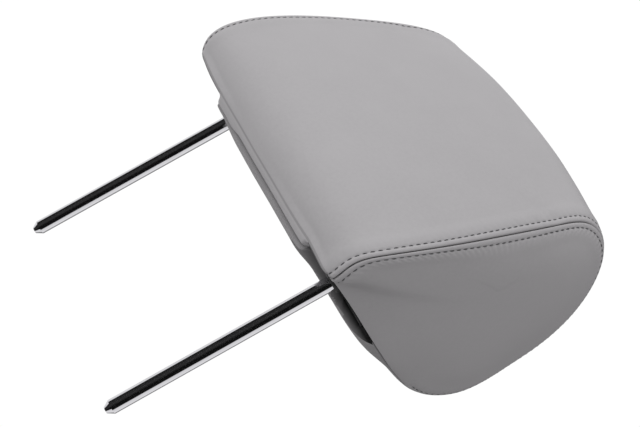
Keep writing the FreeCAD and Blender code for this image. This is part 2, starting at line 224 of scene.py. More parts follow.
NODE_FINISH = {
    "armature_rod": "chrome", "stop_lug": "zinc_steel", "retaining_rings": "spring_steel",
    "post_grommet_left": "black_rubber", "post_grommet_right": "black_rubber",
    "support_plate": "zinc_steel", "plate_bolts": "fastener_steel", "plate_nuts": "fastener_steel",
    "plate_screws": "fastener_steel", "friction_clip": "spring_steel",
    "clip_clamp_screw": "fastener_steel", "carrier_rear": "black_plastic",
    "carrier_front": "black_plastic", "carrier_screws": "fastener_steel",
    "closure_hook": "dark_plastic", "closure_catch": "dark_plastic",
    "hinge_bush_left": "nylon", "hinge_bush_right": "nylon",
    "hinge_bracket_left": "zinc_steel", "hinge_bracket_right": "zinc_steel",
    "slot_liner_left": "dark_plastic", "slot_liner_right": "dark_plastic",
}


def leather(name, base, roughness, painted_shade_heights=None):
    """Fine-grained, lightly coated leather with painted shade in its creases, which may also be painted black
    between two heights as shade, as in the slots.
    """
    material, n, place = new_material(name)
    drift = n.blotches(place, LEATHER_DRIFT_SCALE, 3.0)
    mottle = n.blotches(place, LEATHER_MOTTLE_SCALE, 3.0)
    pores = n.blotches(place, LEATHER_PORE_SCALE, 2.0)
    pebble = n.add("ShaderNodeTexVoronoi", {"feature": "DISTANCE_TO_EDGE"}, Vector=place,
                   Scale=LEATHER_PEBBLE_SCALE).outputs["Distance"]
    dark, light = (tuple(c * tone for c in base) for tone in LEATHER_TONES)
    colour = n.ramp(n.compute("MULTIPLY_ADD", drift, 0.6, mottle), [(0.45, dark), (1.1, light)])
    # Painted shade: the colour is darkened where ambient occlusion finds the leather hemmed in, in creases and
    # along seams.
    open_share = n.add("ShaderNodeAmbientOcclusion", {"samples": 8, "only_local": True}, Distance=CREASE_REACH)
    painted_crease_shade = n.ramp(open_share.outputs["AO"], [(0.0, grey(CREASE_SHADE_DARKEST)), (CREASE_OPEN, grey(1.0))])
    shown = n.mix(1.0, colour, painted_crease_shade, "MULTIPLY")
    # Painted shade: inside the slots the colour is blended to black with height, standing in for the slot's
    # shadow.
    if painted_shade_heights:
        height = n.add("ShaderNodeSeparateXYZ", Vector=place).outputs["Z"]
        depth = n.add("ShaderNodeMapRange", Value=height, From_Min=painted_shade_heights[0], From_Max=painted_shade_heights[1])
        shown = n.mix(depth.outputs["Result"], shown, SLOT_SHADE_BLACK)
    rough = n.ramp(mottle, [(0.3, grey(roughness - 0.05)), (0.7, grey(roughness + 0.07))])
    pebbled = n.bump(n.ramp(pebble, [(0.0, grey(0.0)), (0.12, grey(1.0))]), 0.16, PEBBLE_DEPTH)
    n.surface(shown, rough, n.bump(pores, 0.12, PORE_DEPTH, pebbled), Specular_IOR_Level=LEATHER_SPECULAR)
    return material


def chrome(name):
    """Bright plate with faint polishing lines and a few dull specks."""
    material, n, place = new_material(name)
    stretched = n.add("ShaderNodeMapping", Vector=place, Scale=CHROME_LINE_STRETCH).outputs["Vector"]
    lines = n.blotches(stretched, CHROME_LINE_SCALE, 2.0)
    specks = n.blotches(place, CHROME_SPECK_SCALE, 4.0)
    rough = n.ramp(specks, [(0.35, grey(0.035)), (0.75, grey(0.12))])
    colour = n.ramp(lines, list(zip((0.3, 0.7), CHROME_TONES)))
    n.surface(colour, rough, n.bump(lines, 0.05, CHROME_LINE_DEPTH), Metallic=1.0)
    return material


def grained(name, dark, light, roughness, scale, depth, metallic):
    """A moulded, cast or plated surface: two tones, uneven gloss and a grain of the given scale and depth."""
    material, n, place = new_material(name)
    tone = n.blotches(place, scale / 12, 4.0)
    grain = n.blotches(place, scale, 3.0)
    colour = n.ramp(tone, [(0.3, dark), (0.7, light)])
    rough = n.ramp(grain, [(0.3, grey(roughness - 0.08)), (0.7, grey(roughness + 0.08))])
    n.surface(colour, rough, n.bump(grain, 0.3, depth), Metallic=metallic)
    return material


def make_materials():
    shaded = tuple(c * UNDERSIDE_SHADE for c in LEATHER_BASE)
    materials = {
        "grey_leather": leather("grey_leather", LEATHER_BASE, 0.46),
        "underside_leather": leather("underside_leather", shaded, 0.5),
        "slot_leather_painted_shade": leather("slot_leather_painted_shade", shaded, 0.6, SLOT_SHADE_HEIGHTS),
        "chrome": chrome("chrome"),
    }
    for name, finish in FINISHES.items():
        materials[name] = grained(name, *finish)
    return materials


def dress_cad(materials):
    """Gives every carried-over CAD node its finish."""
    for obj in list(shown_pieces()):
        node = obj.get("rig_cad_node")
        if node in NODE_FINISH:
            obj.data.materials.clear()
            obj.data.materials.append(materials[NODE_FINISH[node]])


# ---------------------------------------------------------------- the cushion's shape, in millimetres
# The seam between the centre band and the right side panel, once round: from the rear lower corner up the
# sloping back, over the top, down the front, round the chin and back along the underside to the post slot.
SEAM_BACK = [(123, -43, 169), (127, -49, 181), (130, -45, 199), (131.4, -34, 221), (130, -18, 247),
             (125, 5, 281), (119, 26, 310), (113.5, 47, 331)]
SEAM_FRONT = [(113.5, 72, 337), (114.5, 97, 328), (116, 118, 307), (117.5, 131, 277), (118.5, 135, 244),
              (119.5, 132.5, 207.5), (118.5, 112.5, 181.7)]
SEAM_UNDER = [(121, 82, 173), (124, 54, 170), (121, 18, 168), (116, -10, 166.5), (113, -30, 165)]
SEAM_SAMPLES = 80
SIDE_CENTRE = (42, 250)
SIDE_X = 135.8
SIDE_FULLNESS = 3.4

# How far each part of the centre band rises above its seams, and how flat its middle is.
CROWN = 7.5
CROWN_TOP = 11.0
CROWN_UNDER = 9.0
CROWN_CHIN = 3.0
CHIN_FROM = (50.0, 70.0)
CHIN_TO = (92.0, 128.0)
CROWN_POWER = 2.3
CROWN_POWER_UNDER = 10.0
OUTLINE_SAMPLES = 900
SMOOTHING_PASSES = 3
SMOOTHING_REACH = 4
UNDER_FACING = (0.55, 0.95)
TOP_FACING = (0.3, 0.9)
LOW_Z = 200
UNDER_END_Y = 95

STITCH_PITCH = 5.0
STITCH_OFFSET = 5.0
STITCH_LENGTH = 3.4
STITCH_END = (8, 14)
STITCHED_LEAST = 0.6
THREAD_R = 0.42
THREAD_THIN_END = 0.75
THREAD_RISE = 0.55
THREAD_SINK = 0.35
THREAD_AHEAD = 0.5
THREAD_SIDES = 6
THREAD_STEPS = 6
TURNED_LEAST = 0.02

ROW_STEP = STITCH_PITCH / 4
FINE_STEP = 0.45
CLOSURE_REACH = 13.0
STRIP_HEIGHT = 6.0
STRIP_GROWTH = {1: 0.0, -1: 4.5}
STRIP_GROWTH_X = (22.0, 48.0)

DENSE_STEP = 0.5
CENTRE_REACH = 42.0
SIDE_REACH = 40.0
SIDE_FAN_STEPS = 240
SIDE_FAN_LEAST = 0.02
EDGE_ROUNDING = 4.6
EDGE_ROUNDING_FADE = (14, 30)
SEAM_KEPT_WIDTH = 16
SEAM_RINGS = [0, 0.45, 0.9, 1.5, 2.2, 3.0, 3.8, 4.4, 5.0, 5.6, 6.3, 7.2, 8.4, 10]
CENTRE_RINGS = SEAM_RINGS + [11.5 + 1.6 * i for i in range(20)]
SIDE_RINGS = SEAM_RINGS + [12, 14, 16.5, 19, 22, 25, 28.5, 32, 36, 40]
MIDDLE_COLUMNS = 42
MIDDLE_CROWDING = 1.6
MIDDLE_S = -99.0
POLE_RINGS = 16
POLE_THINNING = 4

# Grooves: depth and width.
SEAM_GROOVE = (1.7, 0.55)
FOLD_GROOVE = (0.2, 0.45)
CLOSURE_GAP = (3.2, 1.15)
CHIN_GROOVE = (1.1, 1.4)
# Details beside the seam or the chin's groove: height or depth, distance from it, and width.
SEAM_SHOULDER = (0.28, 2.6, 1.7)
STITCH_DIP = (0.5, STITCH_OFFSET, 0.75)
STITCH_DIP_WAVE = 0.25
PUCKER = (0.10, 7.6, 2.6)
PUCKER_SIDE = 0.22
PUCKER_GATHER = (11.0, 0.4)
SEAM_SWELL = (0.5, 10.5, 4.5)
CHIN_SHOULDER = (0.35, 3.6, 1.8)
# Unevenness: height, size of the bumps, seed, and how wide a strip along the seam stays free of it.
UNEVEN_BROAD = (0.45, 55.0, 1, 8)
UNEVEN_FINE = (0.16, 21.0, 2, 5)
GATHER_SEED = 3
CLOSURE_LIP = (0.3, 2.6)
CLOSURE_LIP_FADE = (20, 50)
CLOSURE_END = (-16, -4)

SLOT_INNER_X = 73.0
SLOT_OUTER_X = 140.0
SLOT_Y = (-56.0, 35.5)
SLOT_CORNER = 8.0
STRIP_END_X = {1: 89.5, -1: 66.0}
STRIP_END_Y = (-41.0, -36.0)
SLOT_ROLL = (1.4, -4.5)
SLOT_ROLL_TOP_Z = 176
SLOT_ROLL_END = (-3.2, -0.4)
SLOT_ROLL_DEPTH = 8.0
SLOT_ROLL_DEPTH_FROM = (0.2, 3.5)
SLOT_ROLL_IN = 3.0
SLOT_ROLL_IN_FROM = (0, 1.6)
SLOT_ROLL_IN_TO = (8, 20)
SLOT_EDGE_UNEVEN = (0.7, 24.0, 5)
# The flap's outer end lifts on the left, and the bottom corner sags on the right.
FLAP_LIFT = 2.0
FLAP_LIFT_X = (30, 70)
FLAP_LIFT_BELOW = (5, 8)
FLAP_LIFT_END = -6
DROOP = (2.0, 0.0, -3.4)
DROOP_X = (88.0, 122.0)
DROOP_ALONG = 13.0

# The room inside the cushion.
CAVITY_GAP = 0.3
CAVITY_FRONT_STEP = 20
CAVITY_BACK_STEP = 7
SLOT_CUT_FROM_Z = 150.0
SLOT_CUT_PAST = 2
CLOSURE_CUT_GAP = 1
CLOSURE_CUT_CORNER = 1.0
SHARP_FROM = 62.0

PUFF_ROW_STEP = 6
PUFF_COLUMN_STEP = 5
PUFF_COLUMN_PLACES = (-40, -33, -26, -19, -12, -6, 0, 6, 12, 19, 28.5, 40)
PUFF_FIRST_RING = 2
PUFF_RING_STEP = 3
PUFF_HELD_UNDER = 0.3
PUFF_FRAMES = 16
PUFF_LIMIT = 1.6
PUFF_CLOTH = {"quality": 6, "mass": 0.3, "tension_stiffness": 40, "compression_stiffness": 40,
              "shear_stiffness": 20, "bending_stiffness": 2.0, "use_pressure": True,
              "uniform_pressure_force": 4.0}


def smooth_step(low, high, x):
    t = np.clip((x - low) / (high - low), 0, 1)
    return t * t * (3 - 2 * t)


def bell(x, width):
    return np.exp(-(x / width) ** 2)


def closed_curve(points):
    """A smooth closed curve through the points, finely sampled, with the distance along it."""
    p = np.array(points, float)
    n = len(p)
    h = np.sqrt(np.linalg.norm(np.roll(p, -1, 0) - p, axis=1))
    slope = (np.roll(p, -1, 0) - p) / h[:, None]
    before = np.roll(h, 1)
    a = np.zeros((n, n))
    for i in range(n):
        a[i, i - 1] = h[i]
        a[i, i] = 2 * (before[i] + h[i])
        a[i, (i + 1) % n] = before[i]
    m = np.linalg.solve(a, 3 * (h[:, None] * np.roll(slope, 1, 0) + before[:, None] * slope))
    t = np.linspace(0, 1, SEAM_SAMPLES, endpoint=False)[:, None]
    runs = []
    for i in range(n):
        j = (i + 1) % n
        runs.append((2 * t**3 - 3 * t**2 + 1) * p[i] + (t**3 - 2 * t**2 + t) * h[i] * m[i]
                    + (3 * t**2 - 2 * t**3) * p[j] + (t**3 - t**2) * h[i] * m[j])
    fine = np.vstack(runs + [p[:1]])
    along = np.concatenate([[0], np.cumsum(np.linalg.norm(np.diff(fine, axis=0), axis=1))])
    return fine, along


def row_places(length):
    """Places of the rows along the seam loop: a quarter stitch apart, and finer at the closure."""
    count = POLE_THINNING * round((length - CLOSURE_REACH) / ROW_STEP / POLE_THINNING)
    regular = np.arange(count) * (length - CLOSURE_REACH) / count
    fine_count = POLE_THINNING * round(CLOSURE_REACH / FINE_STEP / POLE_THINNING)
    fine = length - CLOSURE_REACH + np.arange(fine_count) * CLOSURE_REACH / fine_count
    return np.concatenate([regular, fine])


def profile_normals(flat):
    run = np.roll(flat, -1, 0) - np.roll(flat, 1, 0)
    run /= np.linalg.norm(run, axis=1)[:, None]
    out = np.stack([-run[:, 1], run[:, 0]], 1)
    return out if ((flat - flat.mean(0)) * out).sum() > 0 else -out


class Half:
    """The cushion's right half as a grid: rows follow the seam loop, columns run from the middle outward."""

    def __init__(self):
        fine, along = closed_curve(SEAM_BACK + SEAM_FRONT + SEAM_UNDER)
        self.length = along[-1]
        self.along = row_places(self.length)
        self.seam = np.stack([np.interp(self.along, along, fine[:, k]) for k in range(3)], 1)
        even = np.linspace(0, self.length, OUTLINE_SAMPLES, endpoint=False)
        loop = np.stack([np.interp(even, along, fine[:, k]) for k in (1, 2)], 1)
        out = profile_normals(loop)
        for _ in range(SMOOTHING_PASSES):
            out = out + np.roll(out, SMOOTHING_REACH, 0) + np.roll(out, -SMOOTHING_REACH, 0)
            out /= np.linalg.norm(out, axis=1)[:, None]
        self.out = np.stack([np.interp(self.along, even, out[:, k], period=self.length) for k in (0, 1)], 1)
        y, low = self.seam[:, 1:2], self.seam[:, 2:3] < LOW_Z
        self.under = smooth_step(*UNDER_FACING, -self.out[:, 1:2]) * low * (y < UNDER_END_Y)
        top = smooth_step(*TOP_FACING, self.out[:, 1:2])
        chin = smooth_step(*CHIN_FROM, y) * (1 - smooth_step(*CHIN_TO, y)) * low
        self.crown = CROWN + (CROWN_UNDER - CROWN) * self.under + (CROWN_TOP - CROWN) * top
        self.crown = self.crown + (CROWN_CHIN - self.crown) * chin
        self.power = CROWN_POWER + (CROWN_POWER_UNDER - CROWN_POWER) * self.under

    def centre(self, share):
        """The centre band at these shares of the way from the middle line to the seam."""
        rise = self.crown * (1 - np.abs(share) ** self.power)
        return np.stack([self.seam[:, :1] * share, self.seam[:, 1:2] + self.out[:, :1] * rise,
                         self.seam[:, 2:3] + self.out[:, 1:2] * rise], 2)

    def side(self, rho):
        """The side panel at these shares of the way from its middle to the seam."""
        y = SIDE_CENTRE[0] + (self.seam[:, 1:2] - SIDE_CENTRE[0]) * rho
        z = SIDE_CENTRE[1] + (self.seam[:, 2:3] - SIDE_CENTRE[1]) * rho
        return np.stack([SIDE_X - (SIDE_X - self.seam[:, :1]) * rho**SIDE_FULLNESS, y, z], 2)

    def band(self):
        """The strip on both sides of the seam with its corner rounded, and the side share where it ends."""
        rows = len(self.seam)
        back = np.arange(int(CENTRE_REACH / DENSE_STEP), 0, -1) * DENSE_STEP
        inner = self.centre(1 - back[None, :] / self.seam[:, :1])
        rho = np.repeat(np.linspace(1, SIDE_FAN_LEAST, SIDE_FAN_STEPS)[None, :], rows, 0)
        fan = self.side(rho)
        reach = np.cumsum(np.linalg.norm(np.diff(fan, axis=1, prepend=fan[:, :1]), axis=2), axis=1)
        ahead = np.arange(0, int(SIDE_REACH / DENSE_STEP) + 1) * DENSE_STEP
        outer = np.empty((rows, len(ahead), 3))
        end = np.empty((rows, 1))
        for row in range(rows):
            for axis in range(3):
                outer[row, :, axis] = np.interp(ahead, reach[row], fan[row, :, axis])
            end[row] = np.interp(ahead[-1], reach[row], rho[row])
        dense = np.concatenate([inner, outer], 1)
        s = np.concatenate([-back, ahead])
        weights = bell(s[:, None] - s[None, :], EDGE_ROUNDING * math.sqrt(2))
        weights /= weights.sum(1)[:, None]
        rounded = np.einsum("ij,njk->nik", weights, dense)
        near = (1 - smooth_step(*EDGE_ROUNDING_FADE, np.abs(s)))[None, :, None]
        shaped = dense + (rounded - dense) * near
        lost = (self.seam - shaped[:, len(back)])[:, None, :]
        shaped = shaped + lost * bell(s, SEAM_KEPT_WIDTH)[None, :, None]
        rings = np.array([-r for r in reversed(CENTRE_RINGS)] + SIDE_RINGS[1:])
        picked = np.empty((rows, len(rings), 3))
        for row in range(rows):
            for axis in range(3):
                picked[row, :, axis] = np.interp(rings, s, shaped[row, :, axis])
        return rings, picked, end

    def grid(self):
        """All columns from the middle line out, their distances from the seam, and the pole rings."""
        rings, band, end = self.band()
        last = 1 + rings[0] / self.seam[:, :1]
        crowded = 1 - (1 - np.linspace(0, 1, MIDDLE_COLUMNS, endpoint=False)) ** MIDDLE_CROWDING
        middle = self.centre(last * crowded[None, :])
        pole = self.side(end * np.linspace(1, 0, POLE_RINGS + 1)[None, 1:])
        s = np.concatenate([np.full(MIDDLE_COLUMNS, MIDDLE_S), rings])
        return np.concatenate([middle, band], 1), s, pole


def grid_normals(g):
    """Outward normals of a grid whose rows close on themselves."""
    across = np.gradient(g, axis=1)
    normal = np.cross(across, np.roll(g, -1, 0) - np.roll(g, 1, 0))
    normal /= np.maximum(np.linalg.norm(normal, axis=2, keepdims=True), TINY)
    centre = np.array([0.0, SIDE_CENTRE[0], SIDE_CENTRE[1]])
    return normal if ((g - centre) * normal).sum() > 0 else -normal


def wander(points, size, seed):
    """Smooth noise from -1 to 1 at every point, with bumps of about that size."""
    flat = points.reshape(-1, 3)
    offset = Vector((seed * 17.3, seed * 5.1, seed * 9.7))
    values = [noise.noise(Vector(p) / size + offset) for p in flat.tolist()]
    return np.array(values).reshape(points.shape[:-1])


def strip_height(x, side):
    """How far forward of the fold the closure strip reaches; it grows wider towards its left end."""
    return STRIP_HEIGHT + STRIP_GROWTH[side] * smooth_step(*STRIP_GROWTH_X, x)


def chin_distance(half):
    """Each row's distance along the seam loop from where the front panel meets the underside."""
    rows = np.where((half.under[:, 0] > 0.5) & (half.seam[:, 1] > SIDE_CENTRE[0]))[0]
    return half.along[:, None] - half.along[rows[0]]


def closure_distance(half):
    """Each row's distance past the fold at the bottom of the back, forward along the underside."""
    below = half.length - half.along[:, None]
    return np.where(below > half.length / 2, below - half.length, below)


def stitched_share(half):
    """1 where the seam is topstitched: everywhere but along the underside."""
    from_corner = np.minimum(half.along, half.length - half.along)
    bare = half.under[:, 0] * smooth_step(*STITCH_END, from_corner)
    return np.where(half.along < half.length / 2, 1.0, 1 - bare)


def seam_lift(half, g, s):
    """The rise at every point for the seam, its stitching and puckers, and the leather's unevenness."""
    along = half.along[:, None]
    far = np.abs(s)[None, :]
    stitched = stitched_share(half)[:, None]
    lift = -SEAM_GROOVE[0] * bell(s, SEAM_GROOVE[1])[None, :]
    lift = lift + SEAM_SHOULDER[0] * bell(far - SEAM_SHOULDER[1], SEAM_SHOULDER[2]) * stitched
    wave = np.cos(2 * math.pi * along / STITCH_PITCH)
    lift = lift - (STITCH_DIP[0] + STITCH_DIP_WAVE * wave) * bell(far - STITCH_DIP[1], STITCH_DIP[2]) * stitched
    gather = 0.5 + 0.5 * wander(g[:, :1] * 0 + along[:, :, None], PUCKER_GATHER[0], GATHER_SEED)
    on_side = (s > 0)[None, :]
    pucker = (PUCKER[0] + PUCKER_SIDE * on_side * np.clip(gather + PUCKER_GATHER[1], 0, 1)) * wave
    lift = lift + pucker * bell(far - PUCKER[1], PUCKER[2]) * stitched
    lift = lift + SEAM_SWELL[0] * bell(far - SEAM_SWELL[1], SEAM_SWELL[2]) * stitched
    uneven = [height * wander(g, size, seed) * (1 - bell(far, free))
              for height, size, seed, free in (UNEVEN_BROAD, UNEVEN_FINE)]
    return lift + uneven[0] + uneven[1]


def shape_details(half, g, s, side):
    """Moves the grid's points along their normals for the seam, the closure, the chin and unevenness."""
    below = closure_distance(half)
    past = below - strip_height(g[:, :, 0], side)
    closure = -FOLD_GROOVE[0] * bell(below, FOLD_GROOVE[1]) - CLOSURE_GAP[0] * bell(past, CLOSURE_GAP[1])
    closure = closure + smooth_step(*CLOSURE_LIP, past) * (1 - smooth_step(*CLOSURE_LIP_FADE, below))
    chin = chin_distance(half)
    closure = closure - CHIN_GROOVE[0] * bell(chin, CHIN_GROOVE[1])
    closure = closure + CHIN_SHOULDER[0] * bell(np.abs(chin) - CHIN_SHOULDER[1], CHIN_SHOULDER[2])
    lift = seam_lift(half, g, s) + closure * (1 - smooth_step(*CLOSURE_END, s)[None, :])
    return g + grid_normals(g) * lift[:, :, None]


def rounded_box_distance(x, y, x0):
    """Distance in the plan from a slot's opening, below 0 inside it."""
    x1 = SLOT_OUTER_X
    y0, y1 = SLOT_Y
    dx = np.abs(x - (x0 + x1) / 2) - (x1 - x0) / 2 + SLOT_CORNER
    dy = np.abs(y - (y0 + y1) / 2) - (y1 - y0) / 2 + SLOT_CORNER
    outside = np.hypot(np.maximum(dx, 0), np.maximum(dy, 0))
    return outside + np.minimum(np.maximum(dx, dy), 0) - SLOT_CORNER


def roll_slot_edge(half, g, s, side):
    """Turns the cover up into that side's post slot with a rolled, slightly uneven edge, out to the seam."""
    forward = smooth_step(*STRIP_END_Y, g[:, :, 1])
    inner = STRIP_END_X[side] + (SLOT_INNER_X - STRIP_END_X[side]) * forward
    height, size, seed = SLOT_EDGE_UNEVEN
    away = rounded_box_distance(g[:, :, 0], g[:, :, 1], inner)
    away = away + height * wander(g * np.array([1, 1, 0]), size, seed + side)
    below = closure_distance(half)
    turned = smooth_step(*SLOT_ROLL, away) * (below > 0) * (g[:, :, 2] < SLOT_ROLL_TOP_Z)
    turned = turned * (1 - smooth_step(*SLOT_ROLL_END, s))[None, :]
    g = g.copy()
    if side > 0:
        droop = smooth_step(*DROOP_X, g[:, :, 0]) * bell(below, DROOP_ALONG)
        droop = droop * bell(np.maximum(s, 0), DROOP_ALONG)
        g += droop[:, :, None] * np.array(DROOP)
    else:
        lifted = FLAP_LIFT * smooth_step(*FLAP_LIFT_X, g[:, :, 0]) * smooth_step(*FLAP_LIFT_BELOW, below)
        g[:, :, 2] += lifted * (s < FLAP_LIFT_END)[None, :]
    g[:, :, 2] += SLOT_ROLL_DEPTH * turned * smooth_step(*SLOT_ROLL_DEPTH_FROM, below)
    inward = SLOT_ROLL_IN * turned * smooth_step(*SLOT_ROLL_IN_FROM, below)
    g[:, :, 1] += inward * (1 - smooth_step(*SLOT_ROLL_IN_TO, below))
    return g, turned


# ---------------------------------------------------------------- meshes
def add_grid(verts, block):
    """Adds a grid of points to the vertices and gives back the grid of their numbers."""
    start = len(verts)
    verts.extend(map(tuple, (block * MM).reshape(-1, 3)))
    return start + np.arange(block.shape[0] * block.shape[1]).reshape(block.shape[:2])


def grid_faces(index, turned):
    """The faces of a grid whose rows close on themselves, turned round where the grid is mirrored."""
    faces = []
    for here, there in zip(index, np.roll(index, -1, 0)):
        for c in range(len(here) - 1):
            face = (here[c], here[c + 1], there[c + 1], there[c])
            faces.append(face[::-1] if turned else face)
    return faces


def mesh_object(name, verts, faces, materials, indices=None):
    mesh = bpy.data.meshes.new(name)
    mesh.from_pydata([tuple(v) for v in verts], [], [tuple(int(i) for i in f) for f in faces])
    for material in materials:
        mesh.materials.append(material)
    if indices is not None:
        mesh.polygons.foreach_set("material_index", np.array(indices, np.int32))
    mesh.polygons.foreach_set("use_smooth", np.ones(len(mesh.polygons), bool))
    mesh.update()
    obj = bpy.data.objects.new(name, mesh)
    bpy.context.scene.collection.objects.link(obj)
    return obj


def outward(obj):
    """Makes a closed mesh's faces point outward."""
    shape = bmesh.new()
    shape.from_mesh(obj.data)
    bmesh.ops.recalc_face_normals(shape, faces=shape.faces)
    if shape.calc_volume(signed=True) < 0:
        bmesh.ops.reverse_faces(shape, faces=shape.faces)
    shape.to_mesh(obj.data)
    shape.free()


def cutter_prism(outline, low, high):
    """A closed prism on an outline, for cutting."""
    n = len(outline)
    verts = [tuple(c * MM for c in p) for p in [low(q) for q in outline] + [high(q) for q in outline]]
    faces = [tuple(range(n - 1, -1, -1)), tuple(range(n, 2 * n))]
    faces += [(i, (i + 1) % n, n + (i + 1) % n, n + i) for i in range(n)]
    obj = mesh_object("cutter", verts, faces, [])
    outward(obj)
    return obj


def rounded_rectangle(x, y, radius, steps):
    points = []
    for cx, cy, start in ((x[1], y[1], 0), (x[0], y[1], 90), (x[0], y[0], 180), (x[1], y[0], 270)):
        cx += -radius if cx == x[1] else radius
        cy += -radius if cy == y[1] else radius
        for i in range(steps + 1):
            a = math.radians(start + 90 * i / steps)
            points.append((cx + radius * math.cos(a), cy + radius * math.sin(a)))
    return points


def cut_away(obj, cutter):
    modifier = obj.modifiers.new("cut", "BOOLEAN")
    modifier.operation = "DIFFERENCE"
    modifier.object = cutter
    modifier.solver = "MANIFOLD"
    bpy.context.view_layer.update()
    done = bpy.data.meshes.new_from_object(obj.evaluated_get(bpy.context.evaluated_depsgraph_get()))
    obj.modifiers.clear()
    obj.data = done
    bpy.data.objects.remove(cutter)


def coarse_cover(coarse):
    """The cover as a coarse closed mesh, and the vertex numbers of its right and left half as grids."""
    verts, faces = [], []
    right = add_grid(verts, coarse)
    left = np.concatenate([right[:, :1], add_grid(verts, coarse[:, 1:] * MIRROR)], 1)
    for index, turned in ((right, False), (left, True)):
        faces += grid_faces(index, turned)
        # A fan closes the middle of the side: one many-sided face there makes the cloth collapse inward.
        centre = len(verts)
        verts.append(tuple(np.mean([verts[i] for i in index[:, -1]], axis=0)))
        for pair in zip(index[:, -1], np.roll(index[:, -1], -1)):
            faces.append((*(pair[::-1] if turned else pair), centre))
    return verts, faces, right, left


def cloth_shift(verts, faces, held):
    """How far each vertex moves, in millimetres, when the cover is blown up with the held ones fixed."""
    obj = mesh_object("puffed", verts, faces, [])
    outward(obj)
    obj.vertex_groups.new(name="held").add([int(i) for i in held], 1.0, "REPLACE")
    cloth = obj.modifiers.new("cloth", "CLOTH")
    for name, value in PUFF_CLOTH.items():
        setattr(cloth.settings, name, value)
    cloth.settings.vertex_group_mass = "held"
    cloth.settings.effector_weights.gravity = 0
    cloth.collision_settings.use_collision = False
    cloth.point_cache.frame_start, cloth.point_cache.frame_end = 1, PUFF_FRAMES
    scene = bpy.context.scene
    for number in range(1, PUFF_FRAMES + 1):
        scene.frame_set(number)
    done = obj.evaluated_get(bpy.context.evaluated_depsgraph_get())
    after = np.empty(len(verts) * 3)
    done.to_mesh().vertices.foreach_get("co", after)
    done.to_mesh_clear()
    bpy.data.objects.remove(obj)
    scene.frame_set(1)
    return (after.reshape(-1, 3) - np.array(verts)) / MM


def puff(half, g, s, pole):
    """Blows the cover up a little with cloth simulation, held along the seams and the underside, and moves
    the fine grid with it."""
    rows = np.arange(0, len(g), PUFF_ROW_STEP)
    wanted = set(range(0, MIDDLE_COLUMNS, PUFF_COLUMN_STEP))
    wanted |= {int(np.argmin(np.abs(s - place))) for place in PUFF_COLUMN_PLACES}
    columns = np.array(sorted(wanted))
    ring_picks = np.arange(PUFF_FIRST_RING, pole.shape[1] - 1, PUFF_RING_STEP)
    coarse = np.concatenate([g[rows][:, columns], pole[rows][:, ring_picks]], 1)
    verts, faces, right, left = coarse_cover(coarse)
    seam_column = int(np.where(columns == np.argmin(np.abs(s)))[0][0])
    low_rows = half.under[rows, 0] > PUFF_HELD_UNDER
    held = set()
    for index in (right, left):
        held |= set(index[:, seam_column]) | set(index[low_rows, :seam_column].ravel())
    moved = cloth_shift(verts, faces, held)
    size = np.linalg.norm(moved, axis=1, keepdims=True)
    moved = moved * (np.minimum(size, PUFF_LIMIT) / np.maximum(size, TINY))
    print("the cloth moved the cover by up to", round(float(size.max()), 2), "mm")

    shift = (moved[right] + moved[left] * MIRROR) / 2
    whole = np.concatenate([shift, shift[:1]], 0)
    row_at = np.concatenate([half.along[rows], [half.length]])
    column_at = np.concatenate([columns, len(s) + ring_picks]).astype(float)
    every = np.arange(len(s) + pole.shape[1])
    out = np.empty((len(g), len(every), 3))
    for k in range(3):
        across = np.array([np.interp(every, column_at, line) for line in whole[:, :, k]])
        for c in range(len(every)):
            out[:, c, k] = np.interp(half.along, row_at, across[:, c])
    middle = out[:, len(s):].mean(0, keepdims=True)
    fade = np.linspace(0, 1, pole.shape[1])[None, :, None] ** 2
    pole_shift = out[:, len(s):] * (1 - fade) + middle * fade
    return g + out[:, :len(s)], pole + pole_shift


# The cover's materials; faces that a cut leaves take the first, the slot leather with its painted shade.
COVER_MATERIALS = ["slot_leather_painted_shade", "grey_leather", "underside_leather"]
SLOT, PANEL, UNDERSIDE = range(3)
TURNED_SLOT = 0.04
TURNED_SLOT_BEHIND_STRIP = 0.4


def cushion_mesh(grids, turned_in, pole, s, half):
    """One closed mesh from the right half's grid and the left half's, which is given mirrored."""
    rows, columns = grids[0].shape[:2]
    thin = np.arange(0, rows, POLE_THINNING)
    rings = pole.shape[1] - 1
    verts, faces, kinds = [], [], []
    right = add_grid(verts, grids[0])
    left = np.concatenate([right[:, :1], add_grid(verts, grids[1][:, 1:] * MIRROR)], 1)
    last_centre = int(np.argmax(s >= 0))
    for index, g, turn, side in zip((right, left), grids, turned_in, (1, -1)):
        flap = (half.length - half.along)[:, None] > strip_height(g[:, :, 0], side)
        kind = np.where((flap * half.under > 0.5) & (np.arange(columns) < last_centre), UNDERSIDE, PANEL)
        # Faces turned into a slot take the slot leather, which is painted black deeper in as shade.
        kind = np.where((turn > TURNED_SLOT) & (flap | (turn > TURNED_SLOT_BEHIND_STRIP)), SLOT, kind)
        faces += grid_faces(index, side < 0)
        kinds += kind[:, :-1].ravel().tolist()
        towards = np.array([side, 1.0, 1.0])
        ring = add_grid(verts, pole[thin][:, :rings] * towards)
        tip = len(verts)
        verts.append(tuple(pole[0, -1] * towards * MM))
        edge = index[:, -1]
        for k in range(len(thin)):
            n = (k + 1) % len(thin)
            outer = [edge[(thin[k] + i) % rows] for i in range(POLE_THINNING + 1)]
            bands = [tuple([outer[0], ring[k, 0], ring[n, 0]] + outer[:0:-1])]
            bands += [(ring[k, i], ring[k, i + 1], ring[n, i + 1], ring[n, i]) for i in range(rings - 1)]
            bands.append((ring[k, -1], tip, ring[n, -1]))
            for face in bands:
                faces.append(face[::-1] if side < 0 else face)
                kinds.append(PANEL)
    return verts, faces, kinds


